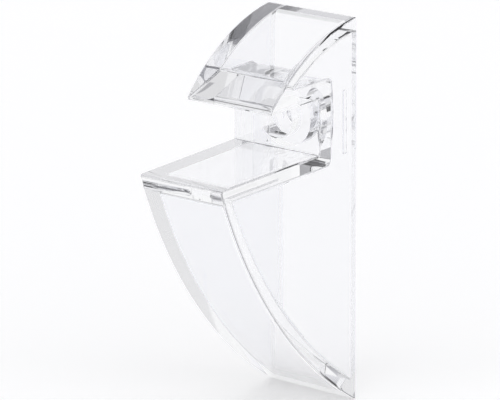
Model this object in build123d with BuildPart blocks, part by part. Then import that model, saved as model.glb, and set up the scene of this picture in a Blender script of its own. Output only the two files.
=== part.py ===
from build123d import *
import os
from math import radians, tan

# Shelf clip, one clear moulding. Millimetres, +Z up. It is drawn standing out towards -Y from a
# wall at Y = 0, with the screw's axis on Y, and last moved so that its origin is on that axis
# where the hole leaves the boss.

# Shelf slot
shelf_thickness = 10.0      # the board that the clip grips
shelf_clearance = 0.4
throat_out = 11.0           # wall to the slot's end face
seat_reach = 28.2           # slot's end face to the front edge of the seat
jaw_reach = 14.6            # slot's end face to the tip of the jaw

# Outside
wall_width = 20.0           # across, at the wall
side_draft = 1.1            # each side leans in towards the front, degrees
top_rise = 13.4             # slot's roof to the top
toe_drop = 50.9             # seat to the toe's point, which lies a little behind the wall
brow_bulge = 2.9            # height of the jaw's curved front over its chord
belly_bulge = 5.45          # height of the lower curved front over its chord
top_round = 1.6
corner_round = 0.45         # jaw tip, nose and the slot's inner corners
edge_round = 0.4            # all round both sides

# Hollow behind the skin, open at the wall
side_wall = 2.1
front_wall = 3.0
seat_slab = 3.0
jaw_slab = 2.8
throat_wall = 5.0
slot_corner_round = 1.2     # hollow's two corners round the slot
hollow_round = 0.5          # hollow's other corners

# Screw boss, which stops short of the wall, and its hole with a recess for the screw's head
boss_diameter = 11.4
boss_setback = 2.8
screw_hole_diameter = 4.4
head_recess_diameter = 7.2
head_recess_depth = 4.7

# Low bead inside each side wall
bead_length = 12.2
bead_width = 0.8
bead_height = 0.35
bead_from_wall = 1.9
bead_drop = 1.1             # bead's middle below the screw's axis

# Worked out from the sizes above
slot_height = shelf_thickness + shelf_clearance
seat_z = -slot_height / 2
roof_z = slot_height / 2
top_z = roof_z + top_rise
toe_z = seat_z - toe_drop
throat_y = -throat_out
nose_y = throat_y - seat_reach
jaw_y = throat_y - jaw_reach
draft = tan(radians(side_draft))
past = 5.0                  # how far a cutting shape runs past what it cuts
full_height = top_z - toe_z + 2 * past


def plan_view(inset):
    """The clip seen from above, with both leaning sides moved in by inset."""
    half_behind = wall_width / 2 - inset + past * draft
    half_front = wall_width / 2 - inset + (nose_y - past) * draft
    with BuildSketch(Plane.XY.offset(toe_z - past)) as plan:
        with BuildLine():
            Polyline(
                (-half_behind, past), (half_behind, past),
                (half_front, nose_y - past), (-half_front, nose_y - past),
                close=True,
            )
        make_face()
    return plan.sketch


def pocket_view(front, low_z, high_z):
    """Side view of the hollow behind one curved front, between two heights."""
    with BuildSketch() as view:
        with Locations(front.arc_center):
            Circle(front.radius - front_wall)
        with Locations(((past + nose_y) / 2, (low_z + high_z) / 2)):
            Rectangle(past - nose_y, high_z - low_z, mode=Mode.INTERSECT)
    return view.sketch


# Skin: the side view runs a little behind the wall, so that its rounded edges end there
with BuildPart() as clip_body:
    behind = 3 * edge_round
    with BuildSketch(Plane.YZ) as side_view:
        with BuildLine():
            Line((behind, top_z), (behind, toe_z))
            belly = SagittaArc((behind, toe_z), (nose_y, seat_z), belly_bulge)
            Polyline((nose_y, seat_z), (throat_y, seat_z), (throat_y, roof_z), (jaw_y, roof_z))
            brow = SagittaArc((jaw_y, roof_z), (behind, top_z), brow_bulge)
        make_face()
        slot_corners = side_view.vertices().filter_by_position(Axis.X, nose_y, throat_y)
        fillet(slot_corners, radius=corner_round)
        fillet(side_view.vertices().sort_by(Axis.Y)[0], radius=corner_round)
        fillet(side_view.vertices().sort_by(Axis.Y)[-1], radius=top_round)
    extrude(amount=wall_width, both=True)
    extrude(plan_view(0), amount=full_height, mode=Mode.INTERSECT)
    sides = clip_body.faces().sort_by(Axis.X)
    fillet(sides[0].edges() + sides[-1].edges(), radius=edge_round)
    split(bisect_by=Plane.XZ, keep=Keep.TOP)

# Hollow: the same side view, with each wall's own thickness taken off
with BuildPart() as hollow:
    under_seat_z = seat_z - seat_slab
    over_jaw_z = roof_z + jaw_slab
    behind_throat_y = throat_y + throat_wall
    with BuildSketch(Plane.YZ) as hollow_view:
        add(pocket_view(belly, toe_z, under_seat_z))
        add(pocket_view(brow, over_jaw_z, top_z))
        with Locations((past, (under_seat_z + over_jaw_z) / 2)):
            passage_height = over_jaw_z - under_seat_z
            Rectangle(past - behind_throat_y, passage_height, align=(Align.MAX, Align.CENTER))
        front_corners = hollow_view.vertices().filter_by_position(Axis.X, nose_y, behind_throat_y - 0.1)
        fillet(front_corners, radius=hollow_round)
        throat_corners = hollow_view.vertices().filter_by_position(
            Axis.X, behind_throat_y - 0.1, behind_throat_y + 0.1)
        fillet(throat_corners, radius=slot_corner_round)
    extrude(amount=wall_width, both=True)
    extrude(plan_view(side_wall), amount=full_height, mode=Mode.INTERSECT)
    hollow_sides = hollow.faces().sort_by(Axis.X)
    fillet(hollow_sides[0].edges() + hollow_sides[-1].edges(), radius=hollow_round)

# The hollow, the boss that carries the screw, a bead inside each side, and the stepped hole
with clip_body:
    add(hollow.part, mode=Mode.SUBTRACT)
    with BuildSketch(Plane.XZ.offset(boss_setback)) as boss_end:
        Circle(boss_diameter / 2)
    extrude(amount=throat_out - throat_wall / 2 - boss_setback)
    bead_x = wall_width / 2 - side_wall - bead_from_wall * draft - bead_height
    for side in (1, -1):
        with BuildSketch(Plane.YZ.offset(side * bead_x)) as bead_view:
            with Locations((-bead_from_wall, -bead_drop)):
                SlotOverall(bead_length, bead_width, rotation=90)
        extrude(amount=side * (bead_height + side_wall / 2))
    throat_face = Plane(origin=(0, throat_y, 0), x_dir=(1, 0, 0), z_dir=(0, -1, 0))
    with Locations(throat_face):
        CounterBoreHole(
            screw_hole_diameter / 2, head_recess_diameter / 2, head_recess_depth,
            depth=throat_out + past,
        )

# Moved so that the origin is where the hole leaves the boss
with BuildPart() as clip:
    with Locations((0, boss_setback, 0)):
        add(clip_body.part)

clip.part.label = "clip_body"
os.makedirs("parts", exist_ok=True)
export_step(clip.part, "parts/clip_body.step")
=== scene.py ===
import bpy, math
from mathutils import Matrix, Vector


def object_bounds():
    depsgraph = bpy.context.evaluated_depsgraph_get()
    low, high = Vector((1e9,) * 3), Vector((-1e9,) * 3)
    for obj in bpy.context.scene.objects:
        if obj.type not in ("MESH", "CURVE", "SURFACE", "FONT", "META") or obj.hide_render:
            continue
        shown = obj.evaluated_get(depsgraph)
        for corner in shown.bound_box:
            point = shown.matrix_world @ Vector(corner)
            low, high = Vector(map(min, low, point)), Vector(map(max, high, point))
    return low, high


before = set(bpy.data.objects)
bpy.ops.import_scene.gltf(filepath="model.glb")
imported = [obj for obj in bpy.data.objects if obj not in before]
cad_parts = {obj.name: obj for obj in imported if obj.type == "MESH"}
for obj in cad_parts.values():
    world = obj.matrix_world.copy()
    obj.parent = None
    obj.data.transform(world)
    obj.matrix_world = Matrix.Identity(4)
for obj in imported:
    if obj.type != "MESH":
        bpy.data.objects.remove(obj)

cadLow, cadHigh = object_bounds()
print("frame loaded")

clearPlastic = {
    "tint": (0.962, 0.964, 0.973),        # cool, next to none
    "tintDeep": (0.940, 0.943, 0.958),    # where the melt ran slower
    "ior": 1.49,                          # acrylic
    "meltStretch": (1.0, 1.0, 0.35),      # the melt ran up and down
    "flowScale": 55.0, "flowDetail": 1.5, "flowTwist": 0.6,
    "flowBump": 0.03, "flowDepth": 0.0002,
    "hazeScale": 160.0, "hazeDetail": 3.0,
    "hazeFrom": 0.45, "hazeTo": 0.75,     # the part of the haze noise that dulls the polish
    "roughLow": 0.0, "roughHigh": 0.03,
    "trappedAfter": 3.5,                  # reflections, after which light goes straight on
    "trappedColour": (0.78, 0.78, 0.79),  # how much of it each further face lets through
}
studio = {
    "behindCamera": 0.8, "white": 1.0, "whiteFrom": 0.62,
    "bands": ((0.3, 0.85), (0.36, 0.06), (0.54, 0.06), (0.58, 0.95)),  # place, level: dark at the sides
    "bandBlue": 1.04,
    "floorColour": (0.93, 0.93, 0.935), "floorRoughness": 0.9, "floorSize": 1.3,
    "floorLift": 0.38,                    # brings the lit floor up to white
}
view = {
    "azimuth": 37.14, "elevation": 16.13, "roll": -0.24,  # degrees
    "distance": 0.6, "lens": 236.9, "sensor": 36.0,
    "near": 0.01, "far": 20.0,
    "pivot": (0.0, -0.0086, -0.0052),     # 0.4 mm in front of the slot's end wall, level with the seat
    "aside": -0.00452, "down": -0.00961,  # aim, from the pivot, where the distance starts too
}


def deselectAll():
    for obj in bpy.context.selected_objects:
        obj.select_set(False)


def makeFlow(values):
    group = bpy.data.node_groups.new("mouldFlow", "ShaderNodeTree")
    face = group.interface
    face.new_socket(name="Scale", in_out="INPUT", socket_type="NodeSocketFloat")
    face.new_socket(name="Haze Scale", in_out="INPUT", socket_type="NodeSocketFloat")
    face.new_socket(name="Vector", in_out="INPUT", socket_type="NodeSocketVector")
    face.new_socket(name="Flow", in_out="OUTPUT", socket_type="NodeSocketFloat")
    face.new_socket(name="Haze", in_out="OUTPUT", socket_type="NodeSocketFloat")
    nodes, links = group.nodes, group.links
    enter = nodes.new("NodeGroupInput")
    leave = nodes.new("NodeGroupOutput")
    flow = nodes.new("ShaderNodeTexNoise")
    flow.inputs["Detail"].default_value = values["flowDetail"]
    flow.inputs["Distortion"].default_value = values["flowTwist"]
    haze = nodes.new("ShaderNodeTexNoise")
    haze.inputs["Detail"].default_value = values["hazeDetail"]
    links.new(enter.outputs["Vector"], flow.inputs["Vector"])
    links.new(enter.outputs["Vector"], haze.inputs["Vector"])
    links.new(enter.outputs["Scale"], flow.inputs["Scale"])
    links.new(enter.outputs["Haze Scale"], haze.inputs["Scale"])
    links.new(flow.outputs["Fac"], leave.inputs["Flow"])
    links.new(haze.outputs["Fac"], leave.inputs["Haze"])
    return group


def makeClearPlastic(values):
    mat = bpy.data.materials.new("clearPlastic")
    mat.use_nodes = True
    nodes, links = mat.node_tree.nodes, mat.node_tree.links
    plastic = nodes["Principled BSDF"]
    plastic.inputs["IOR"].default_value = values["ior"]
    plastic.inputs["Transmission Weight"].default_value = 1.0
    place = nodes.new("ShaderNodeTexCoord")
    stretch = nodes.new("ShaderNodeMapping")
    stretch.inputs["Scale"].default_value = values["meltStretch"]
    links.new(place.outputs["Object"], stretch.inputs["Vector"])
    flow = nodes.new("ShaderNodeGroup")
    flow.node_tree = makeFlow(values)
    flow.inputs["Scale"].default_value = values["flowScale"]
    flow.inputs["Haze Scale"].default_value = values["hazeScale"]
    links.new(stretch.outputs["Vector"], flow.inputs["Vector"])
    tint = nodes.new("ShaderNodeMix")
    tint.data_type = "RGBA"
    tint.inputs["A"].default_value = (*values["tint"], 1.0)
    tint.inputs["B"].default_value = (*values["tintDeep"], 1.0)
    links.new(flow.outputs["Flow"], tint.inputs["Factor"])
    links.new(tint.outputs["Result"], plastic.inputs["Base Color"])
    rough = nodes.new("ShaderNodeMapRange")
    rough.inputs["From Min"].default_value = values["hazeFrom"]
    rough.inputs["From Max"].default_value = values["hazeTo"]
    rough.inputs["To Min"].default_value = values["roughLow"]
    rough.inputs["To Max"].default_value = values["roughHigh"]
    links.new(flow.outputs["Haze"], rough.inputs["Value"])
    links.new(rough.outputs["Result"], plastic.inputs["Roughness"])
    bump = nodes.new("ShaderNodeBump")
    bump.inputs["Strength"].default_value = values["flowBump"]
    bump.inputs["Distance"].default_value = values["flowDepth"]
    links.new(flow.outputs["Flow"], bump.inputs["Height"])
    links.new(bump.outputs["Normal"], plastic.inputs["Normal"])
    # The renderer drops light that is reflected too often, which would leave black bands
    passOn = nodes.new("ShaderNodeBsdfTransparent")
    passOn.inputs["Color"].default_value = (*values["trappedColour"], 1.0)
    path = nodes.new("ShaderNodeLightPath")
    trapped = nodes.new("ShaderNodeMath")
    trapped.operation = "GREATER_THAN"
    trapped.inputs[1].default_value = values["trappedAfter"]
    either = nodes.new("ShaderNodeMixShader")
    links.new(path.outputs["Glossy Depth"], trapped.inputs[0])
    links.new(trapped.outputs["Value"], either.inputs["Fac"])
    links.new(plastic.outputs["BSDF"], either.inputs[1])
    links.new(passOn.outputs["BSDF"], either.inputs[2])
    links.new(either.outputs["Shader"], nodes["Material Output"].inputs["Surface"])
    return mat


def finishClip():
    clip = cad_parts["clip_body"]
    plastic = makeClearPlastic(clearPlastic)
    for slot in clip.material_slots:
        slot.material = plastic
    if not clip.material_slots:
        clip.data.materials.append(plastic)


def makeCamera(values):
    azimuth, elevation = math.radians(values["azimuth"]), math.radians(values["elevation"])
    roll = math.radians(values["roll"])
    pivot = Vector(values["pivot"])
    back = Vector((math.sin(azimuth) * math.cos(elevation),
                   -math.cos(azimuth) * math.cos(elevation), math.sin(elevation)))
    level = Vector((math.cos(azimuth), math.sin(azimuth), 0.0))
    above = back.cross(level)
    right = level * math.cos(roll) + above * math.sin(roll)
    up = above * math.cos(roll) - level * math.sin(roll)
    eye = pivot + back * values["distance"]
    ahead = (pivot + right * values["aside"] + up * values["down"] - eye).normalized()
    right = (right - right.dot(ahead) * ahead).normalized()
    up = right.cross(ahead)
    bpy.ops.object.camera_add()
    camera = bpy.context.object
    camera.name = "camera"
    camera.matrix_world = Matrix((
        (right.x, up.x, -ahead.x, eye.x), (right.y, up.y, -ahead.y, eye.y),
        (right.z, up.z, -ahead.z, eye.z), (0.0, 0.0, 0.0, 1.0)))
    camera.data.sensor_width = values["sensor"]
    camera.data.lens = values["lens"]
    camera.data.clip_start, camera.data.clip_end = values["near"], values["far"]
    bpy.context.scene.camera = camera
    return back


def makeFloor(values):
    bpy.ops.mesh.primitive_plane_add(size=values["floorSize"], location=(0.0, 0.0, cadLow[2]))
    floor = bpy.context.object
    floor.name = "floor"
    mat = bpy.data.materials.new("paleFloor")
    mat.use_nodes = True
    paper = mat.node_tree.nodes["Principled BSDF"]
    paper.inputs["Base Color"].default_value = (*values["floorColour"], 1.0)
    paper.inputs["Roughness"].default_value = values["floorRoughness"]
    nodes, links = mat.node_tree.nodes, mat.node_tree.links
    path = nodes.new("ShaderNodeLightPath")
    seen = nodes.new("ShaderNodeMath")
    seen.operation = "MAXIMUM"
    links.new(path.outputs["Is Camera Ray"], seen.inputs[0])
    links.new(path.outputs["Is Glossy Ray"], seen.inputs[1])
    through = nodes.new("ShaderNodeMath")
    through.operation = "MAXIMUM"
    links.new(seen.outputs["Value"], through.inputs[0])
    links.new(path.outputs["Is Transmission Ray"], through.inputs[1])
    lift = nodes.new("ShaderNodeMath")
    lift.operation = "MULTIPLY"
    lift.inputs[1].default_value = values["floorLift"]
    links.new(through.outputs["Value"], lift.inputs[0])
    paper.inputs["Emission Color"].default_value = (1.0, 1.0, 1.0, 1.0)
    links.new(lift.outputs["Value"], paper.inputs["Emission Strength"])
    floor.data.materials.append(mat)


def makeSurround(values, back):
    world = bpy.data.worlds.new("studio")
    bpy.context.scene.world = world
    world.use_nodes = True
    nodes, links = world.node_tree.nodes, world.node_tree.links
    sky = nodes["Background"]
    place = nodes.new("ShaderNodeTexCoord")
    along = nodes.new("ShaderNodeVectorMath")
    along.operation = "DOT_PRODUCT"
    along.inputs[1].default_value = tuple(-back)
    links.new(place.outputs["Generated"], along.inputs[0])
    spread = nodes.new("ShaderNodeMapRange")
    spread.inputs["From Min"].default_value = -1.0
    links.new(along.outputs["Value"], spread.inputs["Value"])
    ramp = nodes.new("ShaderNodeValToRGB")
    stops = ramp.color_ramp.elements
    stops[0].color = (*[values["behindCamera"]] * 3, 1.0)
    stops[1].position, stops[1].color = values["whiteFrom"], (*[values["white"]] * 3, 1.0)
    for where, level in values["bands"]:
        stops.new(where).color = (level, level, level * values["bandBlue"], 1.0)
    links.new(spread.outputs["Result"], ramp.inputs["Fac"])
    links.new(ramp.outputs["Color"], sky.inputs["Color"])


deselectAll()
finishClip()
print("clip finished")
back = makeCamera(view)
makeFloor(studio)
makeSurround(studio, back)
bpy.context.scene.view_settings.view_transform = "Standard"
print("camera, floor and light made")
